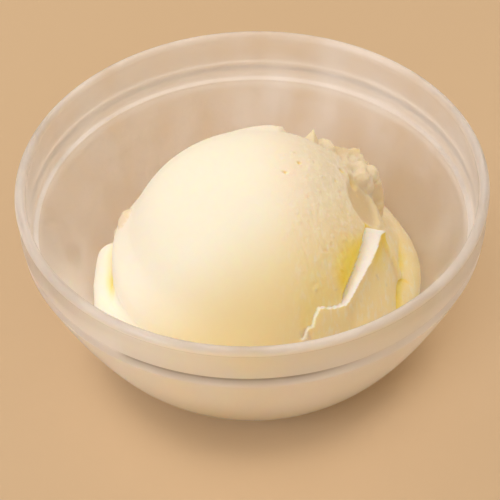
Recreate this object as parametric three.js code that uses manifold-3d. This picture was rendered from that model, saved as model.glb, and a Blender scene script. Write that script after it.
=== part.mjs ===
// Ice cream cup: a small stackable dessert bowl of pressed glass, frosted by the cold, with one
// large scoop of vanilla ice cream in it.
// Millimetres, +Z up, origin at the middle of the foot. The side that is looked at faces -Y, and
// +X is on its right. Azimuths are degrees from +X towards +Y, and elevations are degrees above
// the level of the scoop's centre, both seen from that centre.
import * as THREE from 'three';
import { mergeVertices } from 'three/addons/utils/BufferGeometryUtils.js';
import Module from 'manifold-3d';

const wasm = await Module();
wasm.setup();

const { degToRad, radToDeg, lerp, smoothstep, clamp } = THREE.MathUtils;

// ---------------------------------------------------------------- the bowl
const BOWL_HEIGHT = 46;
const RIM_RADIUS = 52.5;           // outermost line of the lip
const LIP_BEAD = 1.15;             // radius of the rounded lip
const COLLAR_RADIUS = 52.2;         // outside of the upright collar under the lip
const COLLAR_INSIDE_TOP = 50.2;
const COLLAR_INSIDE_FOOT = 49.7;
const GROOVE_HEIGHT = 36.7;        // stacking groove round the outside, under the collar
const GROOVE_DEPTH = 0.8;
const GROOVE_HALF_WIDTH = 0.8;
const SHOULDER_RADIUS = 51.9;      // top of the bellied body, under the groove
const SHOULDER_HEIGHT = 34.6;
const LEDGE_HEIGHT = 34;         // stacking ledge round the inside
const LEDGE_RADIUS = 48.2;
const LEDGE_ROUND = 0.7;
const FOOT_RADIUS = 27;            // where the flat foot ends and the body starts to rise
const FOOT_RING_INSIDE = 22.5;
const FOOT_HOLLOW = 0.6;           // how far the middle of the underside is lifted
const FOOT_HOLLOW_SLOPE = 1.2;
const BODY_FLARE = 1.88;           // height grows as this power of the radius past the foot
const FLOOR_THICKNESS = 3.8;
const WALL_THICKNESS = 2.9;
const BOWL_SIDES = 64;
const BODY_STEPS = 11;
const LIP_STEPS = 8;

// ---------------------------------------------------------------- the scoop
const SCOOP_RADIUS = 30.8;
const SCOOP_CENTRE = new THREE.Vector3(0.3, 0.4, 18.8);
const CONTACT_GAP = 0.3;           // thin air film between the ice cream and the glass
const DOME_SIDES = 64;
const DOME_ROWS = 38;

// Flank: the lower part of the ball swells towards the skirt. Each station is an azimuth, how far
// the flank stands out of the ball, and the elevations where the swelling starts and is full.
const FLANK = [
  [0, 2.6, 12, 0], [20, 2.6, 12, 0], [45, 0, 12, 0], [140, 0, 24, 8], [165, 2.4, 24, 8],
  [185, 2.6, 24, 8], [210, 2.4, 24, 6], [250, 1.2, 22, 2], [285, 0.3, 20, 0], [340, 1.5, 14, 0],
  [360, 2.6, 12, 0],
];

// Skirt: ice cream squeezed out under the scoop's edge. It fills the bowl on the left, in front
// and on the right, and is thin at the back.
const SKIRT_RING = 31.6;           // radius of the skirt's middle line
const SKIRT_TUBE = 6.9;            // half its thickness
const SKIRT_HEIGHT = 12.1;
const SKIRT_BACK_RING = 27.5;
const SKIRT_BACK_TUBE = 4.2;
const SKIRT_MIDDLE = -70;          // azimuth of the middle of the full part
const SKIRT_HALF_SPAN = 123;
const SKIRT_FADE = 10;
const SKIRT_LOBE = 0.045;          // unevenness, as a share of the tube
const SKIRT_SIDES = 12;
const SKIRT_STEPS = 72;

// Torn edge: a thick layer on the right stands away from the dome, with a bright top face and a
// deep crease between the two. Its line falls from its tip on the right to the front, where it
// thins out in a stepped ragged end. Each station is an azimuth, an elevation and the reach of the
// edge's outer corner from the scoop's centre.
const TORN_EDGE = [
  [-11, 26.2, 32.5], [-22, 24.8, 32.5], [-34, 22.6, 32.4], [-47, 18.4, 32.1], [-54, 18, 31.6],
  [-61.5, 20.6, 31.4], [-65, 17.6, 31.4], [-70, 11, 31.3],
];
const TORN_THICK_UNTIL = 0.5;      // share of the line that is thick
const TORN_THIN_FROM = 0.66;
const TORN_UNDERCUT = 1.2;         // how far the face under the edge is drawn in
const TORN_FLARE = 2.8;            // how far the layer's foot stands out past its edge
const TORN_LEAN = 4.4;             // degrees that its top face rises inwards, at the tip
const TORN_LEAN_UNTIL = 0.45;
const TORN_DROP = 30;              // degrees from the edge down to the layer's foot in the skirt
const TORN_ROOT = 22;              // inner side, buried in the scoop
const CREASE_FLOOR = 28.6;         // bottom of the crease, from the scoop's centre
const CREASE_FLOOR_THIN = 30.4;
const CREASE_SPAN = 11;            // degrees from the edge up to the uncut dome
const TORN_STEPS = 28;

// Notch: a hollow torn out of the dome, from the fringe down to the tip of the torn edge.
const NOTCH_TOP = { azimuth: 6, elevation: 46 };
const NOTCH_FOOT = { azimuth: -4, elevation: 24 };
const NOTCH_REACH = 33.5;          // distance of its middle from the scoop's centre
const NOTCH_HALF_LENGTH = 8;
const NOTCH_HALF_WIDTH = 8;
const NOTCH_HALF_DEPTH = 5.4;

// Fringe: the ragged outer rim of the tear, which stands up behind the notch. Each station is an
// azimuth, an elevation and the reach of the crest from the scoop's centre.
const FRINGE = [
  [52, 38.5, 31.2], [44, 35, 32.2], [37, 31, 34], [29.5, 26.5, 34.5], [22.5, 21, 34.4],
  [17.5, 17, 33], [12, 12.5, 31],
];
const FRINGE_ROOT = 26;
const FRINGE_HALF_BASE = 11;       // degrees, half its thickness on the dome
const FRINGE_HALF_CREST = 2.5;
const FRINGE_RAGGED = 1.1;         // most that a tooth of the crest stands out or back
const FRINGE_STEPS = 18;
const FRINGE_SEED = 7;

// Single crags: the end of the cap, a spike and a flake at the top, the crust between the notch
// and the fringe, and the ragged start of the flank and of the skirt on the left. Sizes are
// half-widths.
const CRAGS = [
  { azimuth: 77, elevation: 48, reach: 30.7, across: 3.4, up: 1.5, out: 1.1 },
  { azimuth: 52.5, elevation: 43, reach: 31, across: 1, up: 2.1, out: 2.4 },
  { azimuth: 45, elevation: 39.5, reach: 31, across: 2.4, up: 1.5, out: 2 },
  { azimuth: 25, elevation: 31, reach: 31.8, across: 2.8, up: 2.4, out: 2.3 },
  { azimuth: 25, elevation: 31.5, reach: 33.2, across: 2.2, up: 2, out: 3 },
  { azimuth: 17, elevation: 36, reach: 31.2, across: 2.4, up: 2, out: 2 },
  { azimuth: 17.5, elevation: 29.5, reach: 30.9, across: 2.2, up: 2.2, out: 2 },
  { azimuth: 168, elevation: 15, reach: 31, across: 3, up: 3.2, out: 2 },
  { azimuth: 162, elevation: 1, reach: 32.6, across: 2.4, up: 2, out: 2.2 },
];

const WELD = 1e-4;

// A random draw that is the same every time.
function seededRandom(seed) {
  let state = seed;
  return () => {
    state = (state * 16807) % 2147483647;
    return state / 2147483647;
  };
}

// Unit vector from the scoop's centre.
function direction(azimuth, elevation) {
  const a = degToRad(azimuth);
  const e = degToRad(elevation);
  return new THREE.Vector3(Math.cos(e) * Math.cos(a), Math.cos(e) * Math.sin(a), Math.sin(e));
}

// A point at a distance from the scoop's centre.
function atReach(azimuth, elevation, reach) {
  return direction(azimuth, elevation).multiplyScalar(reach).add(SCOOP_CENTRE);
}

// Moves every vertex of a geometry to where shape(vertex) puts it.
function reshape(geometry, shape) {
  const place = geometry.attributes.position;
  const vertex = new THREE.Vector3();
  for (let i = 0; i < place.count; i += 1) {
    vertex.fromBufferAttribute(place, i);
    shape(vertex);
    place.setXYZ(i, vertex.x, vertex.y, vertex.z);
  }
  return geometry;
}

// The closed surface of a geometry, with shared vertices merged and collapsed triangles dropped.
function closedSurface(geometry) {
  const bare = geometry.clone();
  bare.deleteAttribute('normal');
  bare.deleteAttribute('uv');
  const merged = mergeVertices(bare, WELD);
  const source = merged.index.array;
  const corners = [];
  for (let i = 0; i < source.length; i += 3) {
    const [a, b, c] = [source[i], source[i + 1], source[i + 2]];
    if (a !== b && b !== c && c !== a) {
      corners.push(a, b, c);
    }
  }
  merged.setIndex(corners);
  return merged;
}

function toSolid(geometry) {
  const surface = closedSurface(geometry);
  return new wasm.Manifold(new wasm.Mesh({
    numProp: 3,
    vertProperties: new Float32Array(surface.attributes.position.array),
    triVerts: new Uint32Array(surface.index.array),
  }));
}

function toGeometry(solid) {
  const mesh = solid.getMesh();
  const geometry = new THREE.BufferGeometry();
  geometry.setAttribute('position', new THREE.BufferAttribute(mesh.vertProperties, 3));
  geometry.setIndex(new THREE.BufferAttribute(mesh.triVerts, 1));
  geometry.computeVertexNormals();
  return geometry;
}

// A profile of radius and height, turned round the upright axis.
function turned(profile) {
  return new THREE.LatheGeometry(profile, BOWL_SIDES).rotateX(Math.PI / 2);
}

// ---------------------------------------------------------------- bowl profile
// Outside of the bellied body, at a share of the way from the foot to the shoulder.
function bodyOutside(share) {
  return new THREE.Vector2(
    lerp(FOOT_RADIUS, SHOULDER_RADIUS, share),
    SHOULDER_HEIGHT * share ** BODY_FLARE,
  );
}

// Inside of the body: the outside moved square to itself by the thickness of the glass.
function bodyInside(share, extra = 0) {
  const thickness = lerp(FLOOR_THICKNESS, WALL_THICKNESS, share) + extra;
  const run = SHOULDER_RADIUS - FOOT_RADIUS;
  const rise = SHOULDER_HEIGHT * BODY_FLARE * share ** (BODY_FLARE - 1);
  const length = Math.hypot(run, rise);
  return bodyOutside(share).add(
    new THREE.Vector2(-rise / length, run / length).multiplyScalar(thickness),
  );
}

// Share of the way up at which the inside of the body reaches the ledge.
function ledgeShare() {
  let low = 0;
  let high = 1;
  for (let i = 0; i < 40; i += 1) {
    const middle = (low + high) / 2;
    if (bodyInside(middle).y < LEDGE_HEIGHT - LEDGE_ROUND) {
      low = middle;
    } else {
      high = middle;
    }
  }
  return low;
}

function shares(steps, last = 1) {
  return Array.from({ length: steps + 1 }, (_, i) => (last * i) / steps);
}

function lipArc() {
  const middle = new THREE.Vector2(RIM_RADIUS - LIP_BEAD, BOWL_HEIGHT - LIP_BEAD);
  return shares(LIP_STEPS).map((share) => {
    const angle = degToRad(lerp(-50, 200, share));
    return middle.clone().add(
      new THREE.Vector2(Math.cos(angle), Math.sin(angle)).multiplyScalar(LIP_BEAD),
    );
  });
}

function bowlProfile() {
  const top = ledgeShare();
  const wall = bodyInside(top);
  return [
    new THREE.Vector2(0, FOOT_HOLLOW),
    new THREE.Vector2(FOOT_RING_INSIDE - FOOT_HOLLOW_SLOPE, FOOT_HOLLOW),
    new THREE.Vector2(FOOT_RING_INSIDE, 0),
    ...shares(BODY_STEPS).map((share) => bodyOutside(share)),
    new THREE.Vector2(COLLAR_RADIUS - GROOVE_DEPTH, GROOVE_HEIGHT - GROOVE_HALF_WIDTH / 2),
    new THREE.Vector2(COLLAR_RADIUS - GROOVE_DEPTH, GROOVE_HEIGHT + GROOVE_HALF_WIDTH / 2),
    new THREE.Vector2(COLLAR_RADIUS, GROOVE_HEIGHT + GROOVE_HALF_WIDTH),
    ...lipArc(),
    new THREE.Vector2(COLLAR_INSIDE_TOP, BOWL_HEIGHT - 3 * LIP_BEAD),
    new THREE.Vector2(COLLAR_INSIDE_FOOT, LEDGE_HEIGHT + LEDGE_ROUND),
    new THREE.Vector2(COLLAR_INSIDE_FOOT - LEDGE_ROUND / 2, LEDGE_HEIGHT),
    new THREE.Vector2(LEDGE_RADIUS, LEDGE_HEIGHT - LEDGE_ROUND / 3),
    new THREE.Vector2(wall.x, wall.y),
    ...shares(BODY_STEPS - 1, top).slice(0, -1).reverse().map((share) => bodyInside(share)),
    new THREE.Vector2(0, FLOOR_THICKNESS),
  ];
}

// The room inside the bowl, kept clear of the glass, up past the top of the scoop.
function bowlRoom() {
  const top = ledgeShare();
  const wall = bodyInside(top, CONTACT_GAP);
  const above = SCOOP_CENTRE.z + 1.5 * SCOOP_RADIUS;
  return turned([
    new THREE.Vector2(0, FLOOR_THICKNESS + CONTACT_GAP),
    ...shares(BODY_STEPS - 1, top).map((share) => bodyInside(share, CONTACT_GAP)),
    new THREE.Vector2(wall.x, above),
    new THREE.Vector2(0, above),
  ]);
}

// ---------------------------------------------------------------- scoop pieces
// How far the flank stands out of the ball.
function flankSwell(azimuth, elevation) {
  const turn = (azimuth + 360) % 360;
  const next = Math.max(FLANK.findIndex((station) => station[0] >= turn), 1);
  const [from, to] = [FLANK[next - 1], FLANK[next]];
  const share = (turn - from[0]) / (to[0] - from[0]);
  const [, swell, start, full] = from.map((value, i) => lerp(value, to[i], share));
  return swell * (1 - smoothstep(elevation, full, start)) * smoothstep(elevation, -80, -50);
}

function dome() {
  const ball = new THREE.SphereGeometry(SCOOP_RADIUS, DOME_SIDES, DOME_ROWS).rotateX(Math.PI / 2);
  return reshape(ball, (vertex) => {
    const azimuth = radToDeg(Math.atan2(vertex.y, vertex.x));
    const elevation = radToDeg(Math.asin(clamp(vertex.z / SCOOP_RADIUS, -1, 1)));
    vertex.copy(atReach(azimuth, elevation, SCOOP_RADIUS + flankSwell(azimuth, elevation)));
  });
}

// 1 within the full part of the skirt, 0 at the back.
function skirtFullness(azimuth) {
  const turn = Math.abs(((azimuth - SKIRT_MIDDLE + 540) % 360) - 180);
  return 1 - smoothstep(turn, SKIRT_HALF_SPAN, SKIRT_HALF_SPAN + SKIRT_FADE);
}

function skirt() {
  const ring = new THREE.TorusGeometry(SKIRT_RING, SKIRT_TUBE, SKIRT_SIDES, SKIRT_STEPS);
  return reshape(ring, (vertex) => {
    const angle = Math.atan2(vertex.y, vertex.x);
    const full = skirtFullness(radToDeg(angle));
    const lobes = 1 + SKIRT_LOBE * (Math.sin(3 * angle + 0.6) + Math.sin(7 * angle + 2));
    const tube = lerp(SKIRT_BACK_TUBE, SKIRT_TUBE, full) * lobes / SKIRT_TUBE;
    const out = lerp(SKIRT_BACK_RING, SKIRT_RING, full)
      + (Math.hypot(vertex.x, vertex.y) - SKIRT_RING) * tube;
    const sag = lerp(SKIRT_BACK_TUBE - SKIRT_TUBE, 0, full) / 2;
    vertex.set(
      SCOOP_CENTRE.x + out * Math.cos(angle),
      SCOOP_CENTRE.y + out * Math.sin(angle),
      SKIRT_HEIGHT + sag + vertex.z * tube,
    );
  });
}

// A closed block laid along a line on the scoop, from its right end to its left. Its vertices sit
// at three shares from 0 to 1: along the line, upwards, and outwards. place(up, out, reach, along)
// gets the line's own reach there, and returns a vertex's degrees above the line and its reach.
function blockOnLine(stations, steps, upSteps, outSteps, place) {
  const line = new THREE.CatmullRomCurve3(
    stations.map((station) => new THREE.Vector3(...station)),
    false,
    'centripetal',
  );
  const block = new THREE.BoxGeometry(1, 1, 1, steps, upSteps, outSteps);
  return reshape(block, (vertex) => {
    const along = clamp(0.5 - vertex.x, 0, 1);
    const at = line.getPoint(along);
    const [above, reach] = place(vertex.y + 0.5, vertex.z + 0.5, at.z, along);
    vertex.copy(atReach(at.x, at.y + above, reach));
  });
}

// Degrees that the torn edge's top face lies above its outer corner, at a reach further in.
function faceLean(along, reach, corner) {
  const lean = TORN_LEAN * (1 - smoothstep(along, 0, TORN_LEAN_UNTIL));
  return (lean * (corner - reach)) / (corner - CREASE_FLOOR);
}

// The layer under the torn edge: a bright top face, drawn in just under its outer corner, and a
// foot that flares towards the skirt.
function tornLayer() {
  return blockOnLine(TORN_EDGE, TORN_STEPS, 6, 2, (up, out, corner, along) => {
    const thin = smoothstep(along, TORN_THICK_UNTIL, TORN_THIN_FROM);
    const drop = (1 - up) ** 1.6;
    const undercut = TORN_UNDERCUT * (1 - thin) * Math.sin(Math.PI * Math.sqrt(drop)) ** 2;
    const face = corner - undercut + TORN_FLARE * drop ** 1.5;
    const reach = lerp(TORN_ROOT, face, out);
    return [up ** 4 * faceLean(along, reach, corner) - TORN_DROP * drop, reach];
  });
}

// What is missing between the dome and the torn edge.
function crease() {
  return blockOnLine(TORN_EDGE, TORN_STEPS, 4, 1, (up, out, corner, along) => {
    const thin = smoothstep(along, TORN_THICK_UNTIL, TORN_THIN_FROM);
    const bottom = lerp(CREASE_FLOOR, CREASE_FLOOR_THIN, thin);
    const floor = lerp(SCOOP_RADIUS + 0.5, bottom, (1 - up) ** 1.5);
    const reach = lerp(floor, 1.2 * SCOOP_RADIUS, out);
    return [CREASE_SPAN * up + faceLean(along, reach, corner), reach];
  });
}

function fringe() {
  const random = seededRandom(FRINGE_SEED);
  const teeth = shares(FRINGE_STEPS).map(() => FRINGE_RAGGED * (2 * random() - 1));
  return blockOnLine(FRINGE, FRINGE_STEPS, 2, 2, (up, out, crest, along) => {
    const ends = Math.sin(Math.PI * along) ** 0.5;
    const tooth = teeth[Math.round(along * FRINGE_STEPS)] * ends;
    const half = lerp(FRINGE_HALF_BASE, FRINGE_HALF_CREST, out) * lerp(0.4, 1, ends);
    return [half * (2 * up - 1), lerp(FRINGE_ROOT, crest + tooth, out)];
  });
}

// An egg-shaped solid with its depth along outwards and its length along upwards.
function egg(middle, outwards, upwards, halfWidth, halfLength, halfDepth, detail) {
  const side = upwards.clone().cross(outwards).normalize();
  const length = outwards.clone().cross(side);
  const frame = new THREE.Matrix4().makeBasis(side, length, outwards)
    .multiply(new THREE.Matrix4().makeScale(halfWidth, halfLength, halfDepth));
  return new THREE.IcosahedronGeometry(1, detail)
    .applyMatrix4(frame)
    .translate(...middle.toArray());
}

function notch() {
  const top = direction(NOTCH_TOP.azimuth, NOTCH_TOP.elevation);
  const foot = direction(NOTCH_FOOT.azimuth, NOTCH_FOOT.elevation);
  const outwards = top.clone().add(foot).normalize();
  const middle = outwards.clone().multiplyScalar(NOTCH_REACH).add(SCOOP_CENTRE);
  return egg(
    middle,
    outwards,
    top.clone().sub(foot),
    NOTCH_HALF_WIDTH,
    NOTCH_HALF_LENGTH,
    NOTCH_HALF_DEPTH,
    4,
  );
}

function crags() {
  const up = new THREE.Vector3(0, 0, 1);
  return CRAGS.map((crag) => egg(
    atReach(crag.azimuth, crag.elevation, crag.reach),
    direction(crag.azimuth, crag.elevation),
    up,
    crag.across,
    crag.up,
    crag.out,
    1,
  ));
}

// ---------------------------------------------------------------- the two pieces
function bowlGeometry() {
  return toGeometry(toSolid(turned(bowlProfile())));
}

function scoopGeometry() {
  let solid = toSolid(dome()).add(toSolid(skirt()));
  solid = solid.subtract(toSolid(crease())).add(toSolid(tornLayer()));
  solid = solid.subtract(toSolid(notch())).add(toSolid(fringe()));
  for (const piece of crags()) {
    solid = solid.add(toSolid(piece));
  }
  return toGeometry(solid.intersect(toSolid(bowlRoom())));
}

const glassBowl = new THREE.Mesh(
  bowlGeometry(),
  new THREE.MeshStandardMaterial({ color: '#e6e1d6', roughness: 0.35, metalness: 0 }),
);
glassBowl.name = 'glass_bowl';

const iceCreamScoop = new THREE.Mesh(
  scoopGeometry(),
  new THREE.MeshStandardMaterial({ color: '#f6e6c0', roughness: 0.55, metalness: 0 }),
);
iceCreamScoop.name = 'ice_cream_scoop';

const iceCreamCup = new THREE.Group();
iceCreamCup.add(glassBowl, iceCreamScoop);

export default iceCreamCup;
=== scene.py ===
# %% [markdown]
# # Ice cream cup
# One large scoop of vanilla ice cream in a small stackable bowl of pressed glass, frosted by the
# cold. Only two things are here, so everything depends on how well each is made: the glass has to
# be cloudy and clear at once, and the ice cream has to look cold, soft and torn by the spoon.
#
# The measured model comes first. It is in metres, it stands on its foot at z = 0, and it is never
# moved: it gives the place and the size of everything that follows.

# %% Load the measured model
import math
import random

import bmesh
import bpy
import numpy as np
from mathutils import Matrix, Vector, noise


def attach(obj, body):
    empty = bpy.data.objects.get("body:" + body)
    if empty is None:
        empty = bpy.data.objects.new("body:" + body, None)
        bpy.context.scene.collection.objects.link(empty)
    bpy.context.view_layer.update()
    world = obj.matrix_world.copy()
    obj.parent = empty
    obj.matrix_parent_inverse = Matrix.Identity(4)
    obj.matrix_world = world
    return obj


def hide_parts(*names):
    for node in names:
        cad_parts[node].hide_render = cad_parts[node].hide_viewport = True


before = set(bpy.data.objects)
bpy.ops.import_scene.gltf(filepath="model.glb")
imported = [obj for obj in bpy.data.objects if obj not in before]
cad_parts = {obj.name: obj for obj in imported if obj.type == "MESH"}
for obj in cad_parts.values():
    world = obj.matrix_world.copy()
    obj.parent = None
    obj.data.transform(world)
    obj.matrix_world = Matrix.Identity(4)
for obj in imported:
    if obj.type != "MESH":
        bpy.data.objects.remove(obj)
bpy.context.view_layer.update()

# %% [markdown]
# ## Sizes
# Real sizes come first, in millimetres and degrees. A shape that is built from named sizes can be
# corrected against the photograph by changing one number. Azimuths are degrees from +X towards +Y,
# and elevations are degrees above the level of the scoop's centre, both seen from that centre.

# %% Sizes of the bowl
MM = 0.001
BOWL_HEIGHT = 46.0
RIM_RADIUS = 52.45
LIP_BEAD = 1.15
COLLAR_RADIUS = 52.2
COLLAR_INSIDE_TOP = 50.2
COLLAR_INSIDE_FOOT = 49.7
GROOVE_HEIGHT = 36.7
GROOVE_DEPTH = 0.8
GROOVE_HALF_WIDTH = 0.8
SHOULDER_RADIUS = 51.9
SHOULDER_HEIGHT = 34.6
LEDGE_HEIGHT = 34.0
LEDGE_RADIUS = 48.2
LEDGE_ROUND = 0.7
FOOT_RADIUS = 27.0
FOOT_RING_INSIDE = 22.5
FOOT_HOLLOW = 0.6
FOOT_HOLLOW_SLOPE = 1.2
BODY_FLARE = 1.88
FLOOR_THICKNESS = 3.8
WALL_THICKNESS = 2.9

# %% Sizes of the scoop
SCOOP_RADIUS = 30.8
SCOOP_CENTRE = np.array([0.3, 0.4, 18.8])
SKIRT_RING, SKIRT_TUBE, SKIRT_HEIGHT = 31.6, 6.9, 12.1
SKIRT_BACK_RING, SKIRT_BACK_TUBE = 27.5, 4.2
SKIRT_MIDDLE, SKIRT_HALF_SPAN, SKIRT_FADE = -70.0, 123.0, 10.0
SKIRT_LOBE = 0.045

# How far the flank stands out of the ball: azimuth, swell, and the elevations where the swelling
# starts and where it is full.
FLANK = [
    (0, 2.6, 12, 0), (20, 2.6, 12, 0), (45, 0, 12, 0), (90, 0, 18, 4), (140, 0, 24, 8),
    (165, 2.4, 24, 8), (185, 2.6, 24, 8), (210, 2.4, 24, 6), (250, 1.2, 22, 2),
    (285, 0.3, 20, 0), (340, 1.5, 14, 0), (360, 2.6, 12, 0),
]

# The torn edge, from its tip on the right to its ragged end in front: azimuth, elevation, and the
# reach of its outer corner from the scoop's centre.
TORN_EDGE = [
    (-11, 26.2, 32.5), (-22, 25.4, 32.5), (-34, 23.8, 32.4), (-43, 20.6, 32.2),
    (-48.5, 17.0, 31.9), (-53.5, 17.2, 31.6), (-58, 18.7, 31.5), (-61.5, 20.3, 31.4),
    (-64, 18.8, 31.4), (-65.5, 16.4, 31.4), (-67, 13.2, 31.3), (-69.4, 12.6, 31.3),
    (-71, 9, 31.3),
]
TORN_THICK_UNTIL, TORN_THIN_FROM = -46.0, -52.0
TORN_UNDERCUT = 1.2
TORN_FLARE_TIP, TORN_FLARE_FOOT = 1.2, 4.8     # the layer's foot stands out this far, tip to end
TORN_CURL = 1.0                                # the tip's corner is drawn out to a point
TORN_LEAN, TORN_LEAN_FROM = 4.4, -48.0
CREASE_FLOOR, CREASE_FLOOR_THIN = 29.0, 30.4
CREASE_SPAN = 11.0
# Painted glow: the cream is painted yellow over this span above the crease.
PAINTED_GLOW_SPAN_TIP, PAINTED_GLOW_SPAN_FOOT = 7.0, 23.0      # degrees of yellow cream above the crease

NOTCH_TOP, NOTCH_FOOT = (6, 46), (-4, 24)
NOTCH_REACH = 33.5
NOTCH_HALF_SIZES = (8.0, 8.0, 5.4)
NOTCH_FLAT = 29.2      # the spoon left the notch's floor flat, at this distance from the centre

# The ragged outer rim of the tear: azimuth, elevation, reach of the crest.
FRINGE = [
    (52, 38.5, 31.2), (44, 35, 32.4), (37, 31, 34), (29.5, 26.5, 34.5), (22.5, 21, 34.4),
    (17.5, 17, 33), (12, 12.5, 31),
]
FRINGE_ROOT, FRINGE_HALF_CREST = 26.0, 1.6
FRINGE_HALF_BASE, FRINGE_SLOPE_BASE = 11.0, 25.0     # degrees; its upper end slopes off smoothly

# Single crags on the outline: azimuth, elevation, reach, and half-widths across, up and out.
CRAGS = [
    (45, 39.5, 31.0, 2.8, 1.5, 1.7), (25, 31, 31.8, 2.8, 2.4, 2.3),
    (22.5, 29, 32.8, 2.4, 2.1, 2.4), (19, 33.5, 31.4, 2.3, 2.0, 1.8),
    (17.5, 29.5, 30.9, 2.2, 2.2, 2.0), (168, 15, 31.0, 3.0, 3.2, 2.0),
    (162, 1, 32.6, 2.4, 2.0, 2.0),
]
# The lifted end of the cap: azimuths where it starts and where it breaks off, its elevation, lift.
CAP_FROM, CAP_END, CAP_ELEVATION, CAP_LIFT = 108.0, 69.3, 48.5, 1.1
# The spike: azimuth and elevation of its tip, and its height.
SPIKE_AZIMUTH, SPIKE_ELEVATION, SPIKE_HEIGHT = 53.6, 43.5, 2.9
# The hollow between the ball and the ragged rim: azimuth, elevation, depth.
HOLLOW_AZIMUTH, HOLLOW_ELEVATION, HOLLOW_DEPTH = 14.0, 39.5, 1.6

# Air bubbles that the tool opened, and crumbs that it left: azimuth, elevation, half-width, and
# height, which is below zero for a bubble. The first are given one by one, the rest placed by
# chance.
SPECKS = [
    (10, 70, 0.55, -0.45), (-16, 76, 0.55, -0.4), (29, 70, 0.4, 0.3), (22, 43, 0.6, 0.4),
    (-15, 50, 0.4, 0.3), (-20, 60, 0.4, 0.3), (16, 47, 0.7, -0.6), (-70.5, 11, 0.9, 0.8),
    (-69.8, 8.5, 0.8, 0.7),
]
# Crumbs on the ragged rim, with the same numbers.
RIM_CRUMBS = [
    (36.5, 31.5, 0.7, 0.9), (34.5, 31, 0.5, 1.0), (32, 30.5, 0.6, 0.5), (28.5, 30.5, 0.6, 0.6),
    (24, 26.5, 0.8, 0.8), (20.5, 23, 0.6, 0.7), (17.5, 25, 0.7, 0.5), (14, 17, 0.7, 0.6),
    (27, 35, 0.7, 0.5),
]
CHANCE_SPECKS = 150
print("scoop", 2 * SCOOP_RADIUS, "mm across in a bowl", 2 * RIM_RADIUS, "mm across")

# %% [markdown]
# ## Helpers
# Two short functions blend numbers, and two join shapes without a hard edge where they meet. They
# work on whole arrays, so that one call shapes all the vertices of a piece.

# %% Blending numbers
def lerp(a, b, share):
    return a + (b - a) * share


def smoothstep(x, low, high):
    share = np.clip((np.asarray(x, float) - low) / (high - low), 0, 1)
    return share * share * (3 - 2 * share)


def smooth_max(a, b, width):
    """The larger of two numbers, rounded over where they are within width of each other."""
    share = np.clip(0.5 + 0.5 * (a - b) / width, 0, 1)
    return lerp(b, a, share) + width * share * (1 - share)


def smooth_min(a, b, width):
    return -smooth_max(-a, -b, width)


# %% From a bmesh to a piece
MERGE_DISTANCE = 0.0005


def finish_piece(name, bm, node):
    """A bmesh made into an object that rides on the cup and stands for a node of the model."""
    bmesh.ops.remove_doubles(bm, verts=bm.verts, dist=MERGE_DISTANCE * MM)
    bmesh.ops.recalc_face_normals(bm, faces=bm.faces)
    mesh = bpy.data.meshes.new(name)
    bm.to_mesh(mesh)
    bm.free()
    mesh.shade_smooth()
    piece = bpy.data.objects.new(name, mesh)
    bpy.context.scene.collection.objects.link(piece)
    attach(piece, "root")
    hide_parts(node)
    print(name, len(mesh.vertices), "vertices,", len(mesh.loop_triangles), "triangles")
    return piece


# %% [markdown]
# ## The bowl
# On the real bowl one turned section is pressed all round: a rounded lip, an upright collar, a
# groove outside and a ledge inside that let the bowls stack, and a bellied body on a flat foot. It
# could be cut from a solid or lathed with a modifier. Here the section is drawn as a chain of
# vertices, its corners are rounded with a vertex bevel, and one spin turns it, because glass shows
# every corner as a line of light, and so each rounding has to be chosen.

# %% The section of the bowl
def body_outside(share):
    share = np.asarray(share, float)
    return np.stack([
        lerp(FOOT_RADIUS, SHOULDER_RADIUS, share), SHOULDER_HEIGHT * share ** BODY_FLARE,
    ], axis=-1)


def body_inside(share, extra=0.0):
    """The inside of the body: the outside moved square to itself by the glass's thickness."""
    share = np.asarray(share, float)
    run = SHOULDER_RADIUS - FOOT_RADIUS
    rise = SHOULDER_HEIGHT * BODY_FLARE * share ** (BODY_FLARE - 1)
    inward = np.stack([-rise, np.full_like(rise, run)], axis=-1)
    inward /= np.hypot(rise, run)[..., None]
    thickness = lerp(FLOOR_THICKNESS, WALL_THICKNESS, share) + extra
    return body_outside(share) + inward * thickness[..., None]


ledge_shares = np.linspace(0, 1, 2001)
# The share of the body's height at which its inside meets the ledge.
ledge_share = float(np.interp(
    LEDGE_HEIGHT - LEDGE_ROUND, body_inside(ledge_shares)[:, 1], ledge_shares,
))


LIP_ARC_FROM, LIP_ARC_TO = -50, 200     # degrees round the lip's bead, from outside to inside
LIP_STEPS, BODY_STEPS = 23, 34


def lip_arc(steps):
    angles = np.radians(np.linspace(LIP_ARC_FROM, LIP_ARC_TO, steps))
    return np.stack([
        RIM_RADIUS - LIP_BEAD + LIP_BEAD * np.cos(angles),
        BOWL_HEIGHT - LIP_BEAD + LIP_BEAD * np.sin(angles),
    ], axis=-1)


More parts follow.
